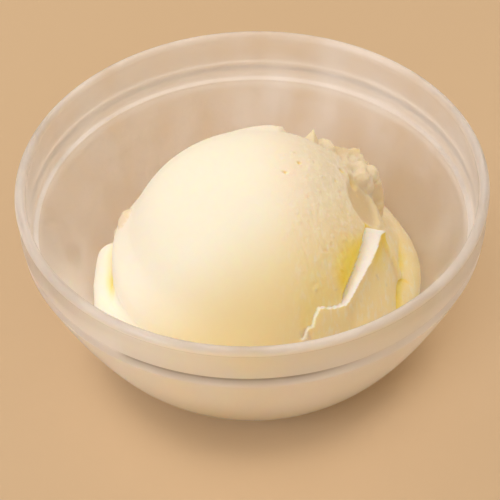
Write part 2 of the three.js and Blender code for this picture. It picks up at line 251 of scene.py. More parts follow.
def bowl_section():
    """Points of radius and height, each with the radius that its corner is rounded to."""
    wall = body_inside(ledge_share)
    groove_floor = COLLAR_RADIUS - GROOVE_DEPTH
    section = [(0, FOOT_HOLLOW, 0), (FOOT_RING_INSIDE - FOOT_HOLLOW_SLOPE, FOOT_HOLLOW, 0.4),
               (FOOT_RING_INSIDE, 0, 0.4)]
    section += [(r, z, 0) for r, z in body_outside(np.linspace(0, 1, BODY_STEPS))[:-1]]
    section += [
        (SHOULDER_RADIUS, SHOULDER_HEIGHT, 0.35),
        (groove_floor, GROOVE_HEIGHT - GROOVE_HALF_WIDTH / 2, 0.3),
        (groove_floor, GROOVE_HEIGHT + GROOVE_HALF_WIDTH / 2, 0.3),
        (COLLAR_RADIUS, GROOVE_HEIGHT + GROOVE_HALF_WIDTH, 0.35),
    ]
    section += [(r, z, 0) for r, z in lip_arc(LIP_STEPS)]
    section += [
        (COLLAR_INSIDE_TOP, BOWL_HEIGHT - 3 * LIP_BEAD, 0.9),
        (COLLAR_INSIDE_FOOT, LEDGE_HEIGHT + LEDGE_ROUND, 0.35),
        (COLLAR_INSIDE_FOOT - LEDGE_ROUND / 2, LEDGE_HEIGHT, 0.2),
        (LEDGE_RADIUS, LEDGE_HEIGHT - LEDGE_ROUND / 3, 0.35), (wall[0], wall[1], 0.3),
    ]
    inside = body_inside(np.linspace(ledge_share, 0, BODY_STEPS)[1:])
    section += [(r, z, 0) for r, z in inside]
    return section + [(0, FLOOR_THICKNESS, 0)]


print("the ledge is at", round(ledge_share, 3), "of the body's height")

# %% Turn the section
BOWL_TURN_STEPS = 192
CORNER_SEGMENTS = 4
# Where the frost is thick, in millimetres and degrees. The ledge's thick film is also a painted
# highlight.
LIP_FROST_FROM, LIP_FROST_FULL = 43.0, 45.2
LEDGE_FROST_RADIUS, LEDGE_FROST_HALF_HEIGHT = 46.5, 1.1
COLLAR_FROST_AZIMUTH, COLLAR_FROST_LEAST = 8, 0.2     # it is full here and on the far side
# Painted shade darkens the groove in front: its width, depth, and the azimuths where it starts and
# ends.
GROOVE_SHADE_HALF_HEIGHT, GROOVE_SHADE_DEPTH = 0.9, 1.2
GROOVE_SHADE_STARTS, GROOVE_SHADE_ENDS = (-126, -121), (-52, -84)


def keep_attribute(piece, name, values):
    """Keeps one number a vertex on the piece, for its material to read."""
    attribute = piece.data.attributes.new(name, "FLOAT", "POINT")
    attribute.data.foreach_set("value", np.asarray(values, np.float32))


def bowl_zones(piece):
    """Keeps where each kind of frost is, the ledge's painted highlight, and the groove's painted
    shade.
    """
    places = np.array([vertex.co for vertex in piece.data.vertices]) / MM
    normals = np.array([vertex.normal for vertex in piece.data.vertices])
    radius, height = np.hypot(places[:, 0], places[:, 1]), places[:, 2]
    outward = (normals[:, :2] * places[:, :2]).sum(1) / np.maximum(radius, 1e-6)
    azimuth = np.degrees(np.arctan2(places[:, 1], places[:, 0]))
    inside = (outward < 0) | (normals[:, 2] > 0.5)
    keep_attribute(piece, "inside", inside)
    keep_attribute(piece, "outside", ~inside & (height < GROOVE_HEIGHT + 2))
    collar = inside & (height > LEDGE_HEIGHT + 1) & (height < BOWL_HEIGHT - 1.5)
    sides = np.abs(np.cos(np.radians(azimuth - COLLAR_FROST_AZIMUTH))) ** 1.5
    keep_attribute(piece, "collar", collar * lerp(COLLAR_FROST_LEAST, 1.0, sides))
    keep_attribute(piece, "lip", smoothstep(height, LIP_FROST_FROM, LIP_FROST_FULL))
    # Painted highlight as well as frost: the ledge's white film makes the bright line along it.
    ledge_frost_and_highlight = np.abs(height - LEDGE_HEIGHT) < LEDGE_FROST_HALF_HEIGHT
    ledge_frost_and_highlight = ledge_frost_and_highlight & (radius > LEDGE_FROST_RADIUS) & (radius < COLLAR_INSIDE_FOOT + 0.1)
    keep_attribute(piece, "ledge_frost_and_highlight", ledge_frost_and_highlight)
    # Painted shade: the groove's band, darkened only over a span in front.
    groove_painted_shade = np.exp(-(((height - GROOVE_HEIGHT) / GROOVE_SHADE_HALF_HEIGHT) ** 2))
    groove_painted_shade = groove_painted_shade * (outward > -0.2) * (radius > COLLAR_RADIUS - GROOVE_SHADE_DEPTH)
    painted_shade_span = smoothstep(azimuth, *GROOVE_SHADE_STARTS) * smoothstep(azimuth, *GROOVE_SHADE_ENDS)
    keep_attribute(piece, "groove_painted_shade", groove_painted_shade * painted_shade_span)


def make_bowl():
    bm = bmesh.new()
    corners = {}
    chain = []
    for radius, height, rounding in bowl_section():
        chain.append(bm.verts.new((radius * MM, 0, height * MM)))
        if rounding:
            corners.setdefault(rounding, []).append(chain[-1])
    for start, end in zip(chain, chain[1:]):
        bm.edges.new((start, end))
    for rounding, vertices in corners.items():
        bmesh.ops.bevel(
            bm, geom=vertices, offset=rounding * MM, segments=CORNER_SEGMENTS, profile=0.5,
            affect="VERTICES", material=-1,
        )
    print("section of", len(bm.verts), "points")
    bmesh.ops.spin(
        bm, geom=bm.verts[:] + bm.edges[:], cent=(0, 0, 0), axis=(0, 0, 1),
        angle=math.tau, steps=BOWL_TURN_STEPS, use_merge=True,
    )
    piece = finish_piece("frosted_glass_bowl", bm, "glass_bowl")
    bowl_zones(piece)
    return piece


bowl = make_bowl()

# %% [markdown]
# ## The scoop
# A scoop of hard ice cream is a ball that the tool has rolled up: smooth and wet on the side that
# the metal wiped, torn and icy on the other, with a skirt squeezed out under its edge. It could be
# sculpted by hand, or fused from simple solids with a voxel remesh. Here one fine sphere is moved
# vertex by vertex: every feature is a reach from the scoop's centre, as a function of direction, so
# each can be set against the photograph by itself and blended softly into the next.

# %% The wall that the ice cream leans on
SINK = 0.15    # the ice cream reaches this far into the glass, so that no air gap shows
WALL_SEARCH_REACH, WALL_SEARCH_STEPS = 60.0, 30
wall_line = body_inside(np.linspace(0, 1, 400), -SINK)


def wall_height(radius):
    return np.interp(radius, wall_line[:, 0], wall_line[:, 1], left=FLOOR_THICKNESS - SINK)


def reach_to_wall(directions):
    """How far each direction can go from the scoop's centre before it meets the glass."""
    low = np.zeros(len(directions))
    high = np.full(len(directions), WALL_SEARCH_REACH)
    for _ in range(WALL_SEARCH_STEPS):
        middle = (low + high) / 2
        points = SCOOP_CENTRE + directions * middle[:, None]
        inside = points[:, 2] > wall_height(np.hypot(points[:, 0], points[:, 1]))
        low = np.where(inside, middle, low)
        high = np.where(inside, high, middle)
    return low


# %% Directions, lines and lumps
def direction(azimuth, elevation):
    a, e = np.radians(azimuth), np.radians(elevation)
    return np.stack([np.cos(e) * np.cos(a), np.cos(e) * np.sin(a), np.sin(e)], axis=-1)


def smooth_line(stations, steps):
    """Points along a smooth line through all the stations, steps from one to the next."""
    given = np.array(stations, float)
    padded = np.vstack([2 * given[0] - given[1], given, 2 * given[-1] - given[-2]])
    points = []
    for before, start, end, after in zip(padded, padded[1:], padded[2:], padded[3:]):
        for t in np.arange(steps) / steps:
            points.append(0.5 * (
                2 * start + (end - before) * t + (2 * before - 5 * start + 4 * end - after) * t**2
                + (3 * start - before - 3 * end + after) * t**3
            ))
    return np.array(points + [given[-1]])


def egg_span(directions, middle, outward, upward, half_sizes):
    """Where rays from the scoop's centre enter and leave an egg. A ray that misses gets infinity,
    then zero."""
    side = np.cross(upward, outward)
    side /= np.linalg.norm(side)
    axes = np.stack([side, np.cross(outward, side), outward]) / np.array(half_sizes)[:, None]
    ray, start = directions @ axes.T, axes @ middle
    a = (ray * ray).sum(1)
    b = ray @ start
    inside_root = b * b - a * (start @ start - 1)
    hits = inside_root > 0
    root = np.sqrt(np.where(hits, inside_root, 0))
    return np.where(hits, (b - root) / a, np.inf), np.where(hits, (b + root) / a, 0.0)


def lumps(points, size, octaves=3, shift=0.0):
    """Cloudy noise, mostly from -1 to 1, whose largest lumps are about size across."""
    return np.array([
        noise.fractal(Vector(p), 1.0, 2.0, octaves) for p in points / size + shift
    ])


# %% The flank and the skirt
LINE_STEPS = 12
flank_line = smooth_line(FLANK, LINE_STEPS)


def flank_swell(azimuth, elevation):
    """How far the flank stands out of the ball."""
    swell, start, full = (
        np.interp(azimuth % 360, flank_line[:, 0], flank_line[:, i]) for i in (1, 2, 3)
    )
    share = np.clip((start - elevation) / (start - full), 0, 1)
    return swell * share * share * (3 - 2 * share)


def skirt_reach(azimuth, elevation):
    """Reach of the squeezed-out ring, which is full on three sides and thin at the back."""
    turn = np.abs((azimuth - SKIRT_MIDDLE + 540) % 360 - 180)
    full = 1 - smoothstep(turn, SKIRT_HALF_SPAN, SKIRT_HALF_SPAN + SKIRT_FADE)
    angle = np.radians(azimuth)
    uneven = 1 + SKIRT_LOBE * (np.sin(3 * angle + 0.6) + np.sin(7 * angle + 2))
    tube = lerp(SKIRT_BACK_TUBE, SKIRT_TUBE, full) * uneven
    ring = lerp(SKIRT_BACK_RING, SKIRT_RING, full)
    height = SKIRT_HEIGHT + (SKIRT_BACK_TUBE - SKIRT_TUBE) / 2 * (1 - full) - SCOOP_CENTRE[2]
    slope = np.radians(elevation)
    along = ring * np.cos(slope) + height * np.sin(slope)
    aside_squared = ring**2 + height**2 - along**2
    room = tube**2 - aside_squared
    return np.where(room > 0, along + np.sqrt(np.maximum(room, 0)), 0.0)


# %% The torn edge
torn_line = smooth_line(TORN_EDGE, LINE_STEPS)[::-1]
FACE_HALF = 2.4      # degrees of rows on either side of the edge that make up its bright face
FACE_PULL = 12.0     # degrees over which the other rows make room for them
TIP_FROM, TIP_FULL = -10.0, -12.0     # azimuths between which the edge starts on the right
END_FROM, END_FULL = -73.5, -70.5     # and between which it ends in front
# Painted glow: the cream under the edge is painted yellow this strongly, near its tip.
UNDER_PAINTED_GLOW = 0.9     # how yellow the cream is under the edge, near its tip


def torn_edge_at(azimuth):
    """Elevation and reach of the torn edge, and how far it exists, from 0 to 1."""
    ends = smoothstep(azimuth, TIP_FROM, TIP_FULL) * smoothstep(azimuth, END_FROM, END_FULL)
    thin = smoothstep(azimuth, TORN_THICK_UNTIL, TORN_THIN_FROM)
    jitter = 0.12 * np.sin(0.9 * azimuth) + 0.25 * thin * np.sin(2.3 * azimuth + 1)
    return (
        np.interp(azimuth, torn_line[:, 0], torn_line[:, 1]) + jitter,
        np.interp(azimuth, torn_line[:, 0], torn_line[:, 2]),
        ends,
    )


def face_lean(azimuth, inward):
    """Degrees that the top face rises inwards. inward is 0 at its outer corner, 1 in the crease."""
    return TORN_LEAN * smoothstep(azimuth, TORN_LEAN_FROM, -11.0) * inward


def gather_rows(azimuth, elevation):
    """Moves rows towards the torn edge, and gives each vertex of its face its share of the way
    from the bottom of the crease to the outer corner. Off the face the share is 0 above, 1
    below."""
    edge, _, exists = torn_edge_at(azimuth)
    half = FACE_HALF * exists
    above = elevation - edge
    moved = np.clip((np.abs(above) - half) / (FACE_PULL - half), 0, 1) * FACE_PULL
    near = (np.abs(above) < FACE_PULL) & (exists > 0)
    share = np.clip((half - above) / np.maximum(2 * half, 1e-6), 0, 1)
    inward = np.minimum(1 - share, np.clip(1 - moved / CREASE_SPAN, 0, 1)) * exists
    return np.where(near, edge + np.sign(above) * moved, elevation), share, inward


def torn_reach(azimuth, elevation, share, dome):
    """The dome with the crease cut into it above the torn edge and the torn layer below it."""
    edge, corner, exists = torn_edge_at(azimuth)
    thin = smoothstep(azimuth, TORN_THICK_UNTIL, TORN_THIN_FROM)
    above = elevation - edge
    floor = lerp(CREASE_FLOOR, CREASE_FLOOR_THIN, thin)
    up = np.clip(above / CREASE_SPAN, 0, 1)
    crease = lerp(SCOOP_RADIUS + 0.5, floor, (1 - up) ** 1.5)
    corner = corner + TORN_CURL * np.exp(-((azimuth - TIP_FULL) ** 2))
    drop = np.clip(-above / 30, 0, 1)
    layer = corner - TORN_UNDERCUT * (1 - thin) * np.sin(math.pi * np.sqrt(drop)) ** 2
    flare = lerp(TORN_FLARE_TIP, TORN_FLARE_FOOT, smoothstep(azimuth, -16, -34) * (1 - thin))
    layer = layer + flare * drop ** 2
    shaped = np.where(above > 0, smooth_min(dome, crease, 0.4), smooth_max(dome, layer, 0.3))
    shaped = np.where(np.abs(above) < 0.02, lerp(floor, corner, share), shaped)
    # Painted glow: the cream above the crease and under the tip is painted yellow, as if lit
    # through.
    span = lerp(PAINTED_GLOW_SPAN_TIP, PAINTED_GLOW_SPAN_FOOT, smoothstep(azimuth, -15, -38))
    painted_fold_glow = smoothstep(above, span, 0.25 * span) * (above > 0) * exists * lerp(1, 0.25, thin)
    painted_under_glow = smoothstep(-above, 0, 0.3) * smoothstep(-above, 14, 1) * smoothstep(azimuth, -36, -20)
    return lerp(dome, shaped, exists), np.maximum(painted_fold_glow, UNDER_PAINTED_GLOW * painted_under_glow * exists)


# %% The notch and the fringe behind it
notch_top, notch_foot = direction(*NOTCH_TOP), direction(*NOTCH_FOOT)
notch_out = (notch_top + notch_foot) / np.linalg.norm(notch_top + notch_foot)
fringe_line = smooth_line(FRINGE, 14)
FRINGE_SMOOTH_FROM, FRINGE_SMOOTH_FULL = 27, 35     # azimuths between which its slope gets long
fringe_directions = direction(fringe_line[:, 0], fringe_line[:, 1])
fringe_share = np.linspace(0, 1, len(fringe_line))


def fringe_reach(directions, ragged):
    """A wall that stands on the line of the fringe, thick at its root and thin at its crest."""
    closeness = directions @ fringe_directions.T
    nearest = closeness.argmax(1)
    away = np.degrees(np.arccos(np.clip(closeness.max(1), -1, 1)))
    ends = np.sin(np.pi * np.clip(fringe_share[nearest], 0.001, 0.999)) ** 0.5
    thickness = lerp(0.4, 1, ends)
    smooth_end = smoothstep(fringe_line[nearest, 0], FRINGE_SMOOTH_FROM, FRINGE_SMOOTH_FULL)
    base = lerp(FRINGE_HALF_BASE, FRINGE_SLOPE_BASE, smooth_end) * thickness
    out = (base - away) / (base - FRINGE_HALF_CREST * thickness)
    crest = fringe_line[nearest, 2] + ragged * ends
    return np.where(out > 0, lerp(FRINGE_ROOT, crest, np.clip(out, 0, 1)), 0.0)


# %% Small things on the surface
# Painted shade: the cream is painted warmer and darker towards this side, away from the lamps.
PAINTED_SHADE_SIDE = np.array([0.45, -0.70, -0.55])     # where the cream is warmest: low, in front, right


def off_by(azimuth, elevation, middle_azimuth, middle_elevation):
    """Millimetres on the ball from a direction to each vertex, across and up."""
    across = (azimuth - middle_azimuth + 540) % 360 - 180
    per_degree = math.radians(SCOOP_RADIUS)
    return (
        across * per_degree * np.cos(np.radians(elevation)),
        (elevation - middle_elevation) * per_degree,
    )


def cap_lift(azimuth, elevation):
    """The end of the cap, lifted like the edge of a thin sheet and broken off."""
    along = smoothstep(azimuth, CAP_FROM, CAP_END + 6) * smoothstep(azimuth, CAP_END, CAP_END + 0.7)
    band = smoothstep(elevation, CAP_ELEVATION + 9, CAP_ELEVATION)
    return CAP_LIFT * along * band * smoothstep(elevation, CAP_ELEVATION - 9, CAP_ELEVATION - 3)


def spike_lift(azimuth, elevation):
    """A three-sided splinter, steep on its left and long on its right."""
    across, up = off_by(azimuth, elevation, SPIKE_AZIMUTH, SPIKE_ELEVATION)
    side = np.where(across > 0, across / 0.5, -across / 2.2)
    return SPIKE_HEIGHT * np.clip(1 - np.maximum(side, np.abs(up) / 1.8), 0, 1)


def speck_list():
    random.seed(5)
    specks = list(SPECKS)
    while len(specks) < CHANCE_SPECKS + len(SPECKS):
        azimuth, elevation = random.uniform(-75, 75), random.uniform(8, 82)
        half_width, height = random.uniform(0.3, 0.6), random.uniform(-0.3, 0.3)
        if random.random() < smoothstep(SCOOP_RADIUS * direction(azimuth, elevation)[0], 4, 22):
            specks.append((azimuth, elevation, half_width, height))
    return specks


def speck_relief(azimuth, elevation, specks):
    """Relief of the specks: each a round dent or crumb with steep sides."""
    relief = np.zeros_like(azimuth)
    for middle_azimuth, middle_elevation, half_width, height in specks:
        across, up = off_by(azimuth, elevation, middle_azimuth, middle_elevation)
        relief += height * np.exp(-((across**2 + up**2) / half_width**2) ** 1.5)
    return relief


# %% Relief of the ball, the crust and the valleys
# The icy side is rough, and its colour is partly its own frosty tone, partly painted shade.
ICY_FROM, ICY_FULL = 0, 18      # millimetres to the right of the centre: the metal didn't wipe there
GRAIN_SIZE, CLUMP_SIZE, SWELL_SIZE = 1.3, 4.0, 17.0     # lumps across, fine to coarse
STREAK_AZIMUTH, STREAK_ELEVATION = 1.5, 11     # degrees: streaks are narrow and run up the ball
BALL_TRIM = 0.22     # the ball is smaller by this much, which leaves room for its relief
GRAIN_RELIEF, CLUMP_RELIEF, STREAK_RELIEF, SWELL_RELIEF = 0.13, 0.14, 0.12, 0.2
CRUST_LUMP_SIZE, CRUST_CRUMB_SIZE = 2.6, 1.1
CRUST_LUMP_RELIEF, CRUST_CRUMB_RELIEF = 1.2, 0.45
HOLLOW_HALF_ACROSS, HOLLOW_HALF_UP = 1.7, 1.5
VALLEY_WIDTH = 1.2     # how near the skirt and the ball come for the valley between them to show
VALLEY_RIGHT, VALLEY_LEFT = 0.9, 0.5     # how deep it is cut there
# Painted glow: a yellow spot painted in the left valley.
GLOW_SPOT_AZIMUTH, GLOW_SPOT_HALF_WIDTH = 189, 5     # the yellow spot in the left valley
SKIRT_BLEND_SOFT, SKIRT_BLEND_SHARP = 6.0, 0.4
WALL_BLEND = 0.5

# %% Shape the scoop
SCOOP_TURN_STEPS, SCOOP_ROWS = 420, 212
ROWS_FROM = (-90, -78, 90)     # the hidden underside takes few of the rows
ROWS_TO = (-90, -28, 90)
TURNS_FROM = (-180, -126, 96, 180)     # the torn side takes more of the columns
TURNS_TO = (-180, -90, 65, 180)


def shape_scoop(directions):
    azimuth = np.degrees(np.arctan2(directions[:, 1], directions[:, 0]))
    azimuth = np.interp(azimuth, TURNS_FROM, TURNS_TO)
    elevation = np.degrees(np.arcsin(np.clip(directions[:, 2], -1, 1)))
    elevation = np.interp(elevation, ROWS_FROM, ROWS_TO)
    elevation, share, inward = gather_rows(azimuth, elevation)
    rays = direction(azimuth, elevation + face_lean(azimuth, inward))
    on_ball = rays * SCOOP_RADIUS

    icy_and_shaded_side = smoothstep(on_ball[:, 0], ICY_FROM, ICY_FULL)
    front = smoothstep(on_ball[:, 1], 12, -8) * smoothstep(elevation, 66, 40)
    level = np.zeros_like(azimuth)
    meridian = np.stack([azimuth / STREAK_AZIMUTH, elevation / STREAK_ELEVATION, level], axis=-1)
    streaks = lumps(meridian, 1.0, 3)
    grain = lumps(on_ball, GRAIN_SIZE, 4, 7.0)
    clumps = lumps(on_ball, CLUMP_SIZE, 3, 3.0)
    swell = lumps(on_ball, SWELL_SIZE, 2, 11.0)

    dome = SCOOP_RADIUS - BALL_TRIM + SWELL_RELIEF * swell + flank_swell(azimuth, elevation)
    dome += icy_and_shaded_side * (GRAIN_RELIEF * grain + CLUMP_RELIEF * clumps + STREAK_RELIEF * front * streaks)
    dome += cap_lift(azimuth, elevation) + spike_lift(azimuth, elevation)
    relief = speck_relief(azimuth, elevation, speck_list())
    painted_bubble_shade, crumb = smoothstep(-relief, 0.12, 0.4), smoothstep(relief, 0.06, 0.25)
    dome += relief
    reach, crease = torn_reach(azimuth, elevation, share, dome)

    enter, _ = egg_span(
        rays, notch_out * NOTCH_REACH, notch_out, notch_top - notch_foot, NOTCH_HALF_SIZES,
    )
    flat = NOTCH_FLAT / np.maximum(rays @ notch_out, 0.3)
    cut = smooth_max(np.minimum(enter, 40), np.minimum(flat, 40), 0.8)
    notched = smooth_min(reach, cut + 0.12 * clumps, 1.2)
    # Painted shade: the notch, the foot of the fringe and the hollow are painted a darker beige.
    notch_painted_shade = smoothstep(reach - notched, 0.1, 1.2)
    reach = notched

    crumbly = 0.3 - CRUST_LUMP_RELIEF * np.abs(lumps(on_ball, CRUST_LUMP_SIZE, 2, 21.0))
    crumbly += CRUST_CRUMB_RELIEF * lumps(on_ball, CRUST_CRUMB_SIZE, 2, 9.0)
    crumbly *= smoothstep(azimuth, 38, 30) * smoothstep(elevation, 20, 28)
    fringe_out = fringe_reach(rays, crumbly) + 0.2 * grain
    fringe_out += speck_relief(azimuth, elevation, RIM_CRUMBS)
    crust = smoothstep(fringe_out - reach, -0.4, 0.4) * smoothstep(elevation, 20, 28)
    crust *= smoothstep(azimuth, 36, 29)
    fringe = crust + smoothstep(spike_lift(azimuth, elevation), 0.1, 0.6)
    notch_painted_shade = np.maximum(notch_painted_shade, 0.7 * smoothstep(fringe_out - reach, -0.4, 0.4) * (1 - crust))
    reach = smooth_max(reach, fringe_out, lerp(0.4, 2.0, smoothstep(azimuth, 26, 36)))

    for crag_az, crag_el, crag_reach, across, up, out in CRAGS:
        outward = direction(crag_az, crag_el)
        _, leave = egg_span(
            rays, outward * crag_reach, outward, np.array([0, 0, 1.0]), (across, up, out),
        )
        leave = np.where(leave > 0, leave + 0.4 * crumbly + 0.3 * grain, 0)
        fringe = np.maximum(fringe, smoothstep(leave - reach, -0.2, 0.4))
        reach = smooth_max(reach, leave, 0.2)
    across, up = off_by(azimuth, elevation, HOLLOW_AZIMUTH, HOLLOW_ELEVATION)
    hollow = np.exp(-((across / HOLLOW_HALF_ACROSS) ** 2 + (up / HOLLOW_HALF_UP) ** 2) ** 1.5)
    reach = reach - HOLLOW_DEPTH * hollow
    # Painted shade in the hollow, too.
    notch_painted_shade = np.maximum(notch_painted_shade, hollow)
    fringe = fringe * (1 - hollow)

    ring = skirt_reach(azimuth, elevation) + 0.16 * clumps + 0.05 * grain
    right = smoothstep(azimuth, -62, -50) * smoothstep(azimuth, 12, -2)
    turned = azimuth % 360
    left = smoothstep(turned, 202, 188) * smoothstep(turned, 150, 165)
    valley = np.exp(-(((reach - ring) / VALLEY_WIDTH) ** 2))
    painted_glow_spot = np.exp(-(((turned - GLOW_SPOT_AZIMUTH) / GLOW_SPOT_HALF_WIDTH) ** 2))
    sharp = np.maximum(right, left)
    reach = smooth_max(reach, ring, lerp(SKIRT_BLEND_SOFT, SKIRT_BLEND_SHARP, sharp))
    reach = reach - (VALLEY_RIGHT * right + VALLEY_LEFT * left) * valley ** 4

    reach = smooth_min(reach, reach_to_wall(rays), WALL_BLEND)
    # Painted light: the torn face is painted whiter than the cream, so that it shows bright.
    torn_face_painted_bright = np.where((share > 0.02) & (share < 0.999), 1.0, 0.0)
    # Painted glow and shade: the crease, valleys, bubbles' dents and the hollow are painted yellow.
    painted_yellow_glow = crease + (right + 0.5 * left + 0.8 * painted_glow_spot) * valley + 0.6 * painted_bubble_shade + 0.35 * hollow
    # Painted shade: warmer, darker cream towards the low front right.
    towards_painted_shade = rays @ (PAINTED_SHADE_SIDE / np.linalg.norm(PAINTED_SHADE_SIDE))
    looks = {
        "crease": np.clip(painted_yellow_glow, 0, 1),
        "painted_warm_shade": smoothstep(towards_painted_shade, -0.25, 0.5),
        "torn_face_painted_bright": torn_face_painted_bright * smoothstep(azimuth, TORN_THIN_FROM - 30, TORN_THIN_FROM),
        "icy_and_shaded_side": icy_and_shaded_side,
        "fringe": np.clip(fringe + crumb, 0, 1),
        "notch_painted_shade": notch_painted_shade,
    }
    return (SCOOP_CENTRE + rays * reach[:, None]) * MM, looks


def make_scoop():
    bm = bmesh.new()
    bmesh.ops.create_uvsphere(
        bm, u_segments=SCOOP_TURN_STEPS, v_segments=SCOOP_ROWS, radius=1.0,
    )
    directions = np.array([vertex.co for vertex in bm.verts])
    places, looks = shape_scoop(directions)
    layers = {name: bm.verts.layers.float.new(name) for name in looks}
    for index, vertex in enumerate(bm.verts):
        vertex.co = places[index]
        for name, layer in layers.items():
            vertex[layer] = float(looks[name][index])
    return finish_piece("vanilla_scoop", bm, "ice_cream_scoop")


scoop = make_scoop()

# %% [markdown]
# ## Colours and nodes
# Colours are written as the sRGB hex values that a paint program shows, and one function turns
# them to the linear values that the renderer works with. One small function adds any node with its
# settings and its links, so that each material below reads as a list of what it is made of.

# %% Colour and node helpers
def linear(hex_colour):
    """Linear red, green, blue and alpha of an sRGB hex colour."""
    parts = [int(hex_colour[i:i + 2], 16) / 255 for i in (1, 3, 5)]
    return tuple(
        part / 12.92 if part <= 0.04045 else ((part + 0.055) / 1.055) ** 2.4 for part in parts
    ) + (1.0,)


def new_material(name):
    material = bpy.data.materials.new(name)
    material.use_nodes = True
    material.node_tree.nodes.clear()
    return material, material.node_tree


def add(tree, kind, inputs=None, **settings):
    """Adds a node. inputs maps a socket's name or number to a value, or to a node or one of its
    outputs to link."""
    node = tree.nodes.new("ShaderNode" + kind)
    for name, value in settings.items():
        setattr(node, name, value)
    for name, value in (inputs or {}).items():
        shown = {socket.name: socket for socket in node.inputs if socket.enabled}
        socket = node.inputs[name] if isinstance(name, int) else shown[name]
        if isinstance(value, bpy.types.Node):
            value = next(output for output in value.outputs if output.enabled)
        if isinstance(value, bpy.types.NodeSocket):
            tree.links.new(value, socket)
        else:
            socket.default_value = value
    return node


def cycles_per_metre(size_mm):
    """The noise scale whose lumps are about size_mm across, for coordinates in metres."""
    return 1 / (size_mm * MM)


def paint(piece, material):
    piece.data.materials.clear()
    piece.data.materials.append(material)


# %% [markdown]
# ## Frosted pressed glass
# The bowl has come out of a freezer, so soda-lime glass, clear by itself, is fogged: a thin white
# haze of tiny drops that blurs what is behind it, thick in some places and wiped or melted clear
# in others. It could be mixed from a glass and a white shader. Here one Principled shader does
# both: its roughness blurs, and a transmission a little below one leaves a white film.

# %% Make the glass
GLASS_TINT = "#fdf8f3"
# Painted shade: the dark colour of the groove in front.
GROOVE_PAINTED_SHADE = "#8f8272"
GLASS_IOR, WATER_IOR = 1.5, 1.33
# How much white film lies on the glass: none at 0, porcelain at 1. The zones add to it.
THIN_FILM, THICK_FILM, CLEAR_FILM = 0.05, 0.32, 0.0
# The ledge's film is also a painted highlight.
ZONE_FILM = {"outside": 0.10, "collar": 0.12, "lip": 0.10, "ledge_frost_and_highlight": 0.30, "groove_painted_shade": 0.25}
CLEAR_SPOT = Vector((-42.0, 3.2, 20.1)) * MM     # frost that a drop has melted
CLEAR_SPOT_FROM, CLEAR_SPOT_TO = 2.6, 4.4
PATCH_MM, RUN_MM, SCUFF_MM = 18, 9, 4     # cloudy patches, runs down the wall, scuffs round it
FROST_MM = 0.9     # real frost is finer than 0.1 mm and wouldn't show, so it is drawn this coarse
LEAST_BLUR, MOST_BLUR, INSIDE_BLUR = 0.30, 0.38, 0.10


def frosted_glass():
    material, tree = new_material("soda_lime_glass_pressed_frosted")
    place = add(tree, "TexCoord").outputs["Object"]
    upright = add(tree, "Mapping", {"Vector": place, "Scale": (1.0, 1.0, 0.12)})
    level = add(tree, "Mapping", {"Vector": place, "Scale": (0.25, 0.25, 2.0)})
    patches = add(tree, "TexNoise", {
        "Vector": place, "Scale": cycles_per_metre(PATCH_MM), "Detail": 3.0, "Roughness": 0.6,
    })
    runs = add(tree, "TexNoise", {
        "Vector": upright, "Scale": cycles_per_metre(RUN_MM), "Detail": 2.0, "Roughness": 0.4,
    })
    scuffs = add(tree, "TexNoise", {
        "Vector": level, "Scale": cycles_per_metre(SCUFF_MM), "Detail": 4.0, "Roughness": 0.6,
    })
    cloud = add(tree, "Math", {0: patches, 1: runs}, operation="ADD")
    cloud = add(tree, "Math", {0: scuffs, 1: 0.5, 2: cloud}, operation="MULTIPLY_ADD")
    haze = add(tree, "MapRange", {"Value": cloud, "From Min": 1.0, "From Max": 1.5})

    film = add(tree, "MapRange", {"Value": haze, "To Min": THIN_FILM, "To Max": THICK_FILM})
    away = add(tree, "VectorMath", {0: place, 1: CLEAR_SPOT}, operation="DISTANCE")
    film = add(tree, "MapRange", {
        "Value": away, "From Min": CLEAR_SPOT_FROM * MM, "From Max": CLEAR_SPOT_TO * MM,
        "To Min": CLEAR_FILM, "To Max": film,
    }, interpolation_type="SMOOTHSTEP")
    for zone, extra in ZONE_FILM.items():
        share = add(tree, "Attribute", attribute_name=zone)
        film = add(tree, "Math", {0: share, 1: extra, 2: film}, operation="MULTIPLY_ADD")
    clearness = add(tree, "Math", {0: 1.0, 1: film}, operation="SUBTRACT", use_clamp=True)

    inside = add(tree, "Attribute", attribute_name="inside")
    groove_painted_shade = add(tree, "Attribute", attribute_name="groove_painted_shade")
    blur = add(tree, "MapRange", {"Value": haze, "To Min": LEAST_BLUR, "To Max": MOST_BLUR})
    blur = add(tree, "Math", {0: inside, 1: INSIDE_BLUR, 2: blur}, operation="MULTIPLY_ADD")
    # The glass's colour, with painted shade darkening the groove in front.
    tint_and_painted_shade = add(tree, "Mix", {
        "Factor": groove_painted_shade, "A": linear(GLASS_TINT), "B": linear(GROOVE_PAINTED_SHADE),
    }, data_type="RGBA")
    grain = add(tree, "TexNoise", {
        "Vector": place, "Scale": cycles_per_metre(FROST_MM), "Detail": 2.0,
    })
    frost = add(tree, "MapRange", {"Value": inside, "To Min": 0.02, "To Max": 0.25})
    bump = add(tree, "Bump", {"Height": grain, "Strength": frost, "Distance": 0.1 * MM})
    shader = add(tree, "BsdfPrincipled", {
        "Base Color": tint_and_painted_shade, "IOR": GLASS_IOR, "Roughness": blur,
        "Transmission Weight": clearness, "Normal": bump,
        "Coat Weight": 0.4, "Coat Roughness": 0.12, "Coat IOR": WATER_IOR,
    })
    add(tree, "OutputMaterial", {"Surface": shader})
    return material


paint(bowl, frosted_glass())
bowl.visible_shadow = False    # lamps don't shine through glass here, and the real bowl lets them

# %% [markdown]
# ## Vanilla ice cream
# Ice cream is a foam of milk fat, sugar and ice crystals. Light goes in, scatters and comes out a
# millimetre or two away, so it has no hard shadows, and folds that are lit from inside turn a deep
# egg yellow. Subsurface scattering gives some of that glow, and the rest is painted yellow where an
# attribute that was kept while the shape was made says the folds are. Painted shade also darkens the
# notch, the icy side and the low front, and the torn face is painted whiter as painted light.

